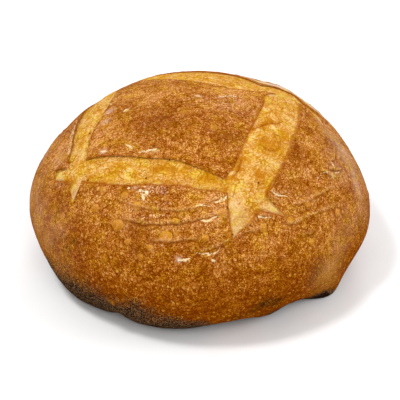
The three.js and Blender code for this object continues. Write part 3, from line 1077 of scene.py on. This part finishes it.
def streaky_crumb(n, f, c):
    """Crumb in the cuts: streaks along them, stains, pores, dry tips and a browned wall."""
    run = {0: n.kept("along"), 1: n.times(n.kept("across"), 3.0)}
    streak = n.noise(n.add("ShaderNodeCombineXYZ", run).outputs[0], 0.12, 4, 0.65)
    tip = n.kept("tip")
    tone = n.sum(
        (streak, 0.46), (n.noise(f.place, 170, 3, 0.55), 0.30), (f.grain, 0.58), (f.weave, 0.70),
        (tip, 0.06), (n.kept("creamy"), 0.14), (n.kept("toasted"), -0.16), (f.wrinkle, -0.17), (1.0, -0.255),
    )
    crumb = n.ramp(tone, (0.58, c.toast), (0.75, c.crumb), (0.92, c.cream))
    crumb = n.over(crumb, c.husk, tip, n.spread(f.weave, 0.35, 0.6, 0.25, 0.75))
    crumb = n.over(crumb, c.deep, n.spread(n.cells(f.place, 105, "F1"), 0.07, 0.10, 0.95, 0.0))
    return n.over(crumb, c.russet, n.kept("wall"), 0.85)


def torn_edges(n, f, c, skin):
    """Browned edges of the cuts, shade painted along the creases and highlights painted on their crests, and
    cooler and warmer clouds over all.
    """
    skin = n.over(skin, c.russet, n.kept("rim"), f.broken, 0.9)
    beads = n.spread(n.sum((f.weave, 0.5), (f.grain, 0.5)), 0.42, 0.56, 0.05, 0.95)
    # painted highlight along the creases' crests
    skin = n.over(skin, c.pale, n.kept("crest"), beads)
    torn = n.math("MAXIMUM", f.broken, n.times(f.open_cut, 0.9))
    # painted shade along the creases' bottoms
    skin = n.over(skin, n.mix(f.open_cut, c.deep, c.russet), n.kept("crease"), torn, 0.9)
    clouds = n.noise(f.place, 120, 3, 0.6)
    tint = n.ramp(clouds, (0.36, OLIVE_TINT), (0.50, NO_TINT), (0.64, ROSY_TINT))
    return n.mix(1.0, skin, tint, "MULTIPLY")


def charred_and_shaded(n, f, c, skin):
    """Burnt crust with grains of ash, darkest where it burnt most; the darkest black at the foot is partly
    painted shade.
    """
    heat = n.sum((n.kept("burn"), 1.0), (f.grain, -1.0), (f.mottle, 0.9), (f.patch, 0.9))
    char = n.ramp(f.fine, (0.45, c.burnt), (0.51, c.scorch), (0.60, c.ash))
    char = n.over(char, c.burnt, n.spread(heat, 1.2, 1.8, 0.0, 0.85))
    return n.over(skin, char, n.spread(heat, 0.55, 1.35))


def glint_flecks(n, f):
    """Where the glints are painted, broken into flecks; the coat shines a little there too."""
    glint = n.kept("glint")
    flecks = n.sum((f.weave, 1.3), (f.grain, 1.0), (glint, 1.0))
    return n.times(n.spread(flecks, 1.55, 1.95), n.spread(glint, 0.1, 0.3))


def gloss(n, f, shine):
    """Thin gloss of the crust, none on the lips, the creases and the crumb."""
    sheen = n.sum((n.kept("gloss"), 0.28), (f.low, -0.12), (1.0, 0.15))
    dull = n.math("MAXIMUM", n.math("MAXIMUM", n.kept("lip"), n.kept("crease")), f.open_cut)
    sheen = n.times(sheen, n.spread(f.grain, 0.46, 0.66), n.spread(dull, 0.1, 0.5, 1.0, 0.0))
    return n.math("MAXIMUM", sheen, n.times(shine, 0.35))


def fine_relief(n, f):
    """Normal of the finest relief: grains and granules, and folds in the crumb."""
    crumb = n.times(n.sum((f.weave, 0.5), (f.wrinkle, -0.25)), f.open_cut)
    height = n.sum((f.grain, 0.5), (f.mottle, 0.5), (f.granule, -0.5), (f.pip, 0.25), (crumb, 1.0))
    return n.add("ShaderNodeBump", {"Height": height, "Strength": 1.0, "Distance": RELIEF_DEPTH}).outputs[0]


def crust_material(colours):
    """Finish of the whole loaf: baked crust, and crumb where the cuts are open."""
    n = Nodes("baked_crust")
    f = crust_fields(n)
    crust = marked_crust(n, f, colours, browned_crust(n, f, colours))
    skin = n.mix(f.open_cut, crust, streaky_crumb(n, f, colours))
    skin = torn_edges(n, f, colours, skin)
    shine = glint_flecks(n, f)
    # painted highlight: the glints laid over the colour
    skin = n.over(skin, colours.glint, shine, 0.8)
    n.into("Base Color", charred_and_shaded(n, f, colours, skin))
    n.into("Roughness", n.spread(f.mottle, 0.3, 0.7, 0.5, 0.36))
    n.into("Coat Weight", gloss(n, f, shine))
    n.shader.inputs["Coat Roughness"].default_value = 0.12
    n.shader.inputs["Specular IOR Level"].default_value = 0.0
    n.into("Normal", fine_relief(n, f))
    return n.material


def table_material():
    """Pale matt table top."""
    n = Nodes("pale_table")
    place = n.add("ShaderNodeTexCoord").outputs["Object"]
    n.into("Base Color", n.mix(n.noise(place, 40, 4), (0.86, 0.86, 0.86), (0.90, 0.90, 0.90)))
    n.shader.inputs["Roughness"].default_value = 0.8
    return n.material


# ---- the stage ----

CAMERA_DISTANCE = 1.0
CAMERA_RISE = 36.0       # degrees above the level
AIM = (0.00052, -0.00060, 0.03964)
LENS = 125.87            # mm, on a 36 mm sensor
LAMPS = (
    # name, place, size across, power
    ("overhead_lamp", (-0.55, -0.25, 1.4), 0.3, 10),
    ("front_lamp", (0.3, -1.2, 1.3), 0.9, 5.5),
    ("right_lamp", (1.3, -0.2, 0.9), 0.7, 5.5),
    ("back_lamp", (0.3, 1.4, 1.0), 0.6, 5.5),
)
SKY = 0.77


class LOAF_OT_stage(bpy.types.Operator):
    """Lay the pale table and set the lamps and the camera"""

    bl_idname = "loaf.stage"
    bl_label = "Set Stage"

    def execute(self, context):
        bpy.ops.object.select_all(action="DESELECT")
        bpy.ops.mesh.primitive_plane_add(size=6, location=(0, 0, 0))
        floor = context.object
        floor.name = "table_top"
        floor.data.materials.append(table_material())
        for lamp in LAMPS:
            self.light(*lamp)
        world = bpy.data.worlds.new("soft_studio")
        context.scene.world = world
        world.use_nodes = True
        sky = world.node_tree.nodes["Background"].inputs
        sky["Color"].default_value = (1, 1, 1, 1)
        sky["Strength"].default_value = SKY
        rise = math.radians(CAMERA_RISE)
        spot = Vector(AIM) + Vector((0, -math.cos(rise), math.sin(rise))) * CAMERA_DISTANCE
        bpy.ops.object.camera_add(location=spot, rotation=(math.pi / 2 - rise, 0, 0))
        camera = context.object
        camera.name = "camera"
        camera.data.lens = LENS
        camera.data.sensor_width = 36
        camera.data.clip_start = 0.01
        context.scene.camera = camera
        context.scene.view_settings.view_transform = "Standard"
        return {"FINISHED"}

    def light(self, name, place, size, power):
        """A soft round lamp at a place, turned to the loaf."""
        bpy.ops.object.select_all(action="DESELECT")
        bpy.ops.object.light_add(type="AREA", location=place)
        lamp = bpy.context.object
        lamp.name = name
        lamp.rotation_euler = (Vector((0, 0, 0.05)) - Vector(place)).to_track_quat("-Z", "Y").to_euler()
        lamp.data.shape = "DISK"
        lamp.data.size = size
        lamp.data.energy = power


class LOAF_PT_panel(bpy.types.Panel):
    """Steps of the loaf, in order"""

    bl_label = "Sourdough Loaf"
    bl_idname = "LOAF_PT_panel"
    bl_space_type = "VIEW_3D"
    bl_region_type = "UI"
    bl_category = "Loaf"

    def draw(self, context):
        for step in STEPS:
            self.layout.operator(step.bl_idname)


STEPS = (LOAF_OT_stage, LOAF_OT_boule, LOAF_OT_cuts, LOAF_OT_relief, LOAF_OT_finish)
CLASSES = (LoafSizes, LoafColours, *STEPS, LOAF_PT_panel)


def register():
    """Makes the loaf's settings, steps and panel known."""
    for kind in CLASSES:
        bpy.utils.register_class(kind)
    bpy.types.Scene.loaf_sizes = PointerProperty(type=LoafSizes)
    bpy.types.Scene.loaf_colours = PointerProperty(type=LoafColours)


def unregister():
    """Takes them away again."""
    del bpy.types.Scene.loaf_colours
    del bpy.types.Scene.loaf_sizes
    for kind in reversed(CLASSES):
        bpy.utils.unregister_class(kind)


def main():
    """Makes the loaf on its table."""
    register()
    bpy.ops.loaf.stage()
    bpy.ops.loaf.boule()
    bpy.ops.loaf.cuts()
    bpy.ops.loaf.relief()
    bpy.ops.loaf.finish()


if __name__ == "__main__":
    main()
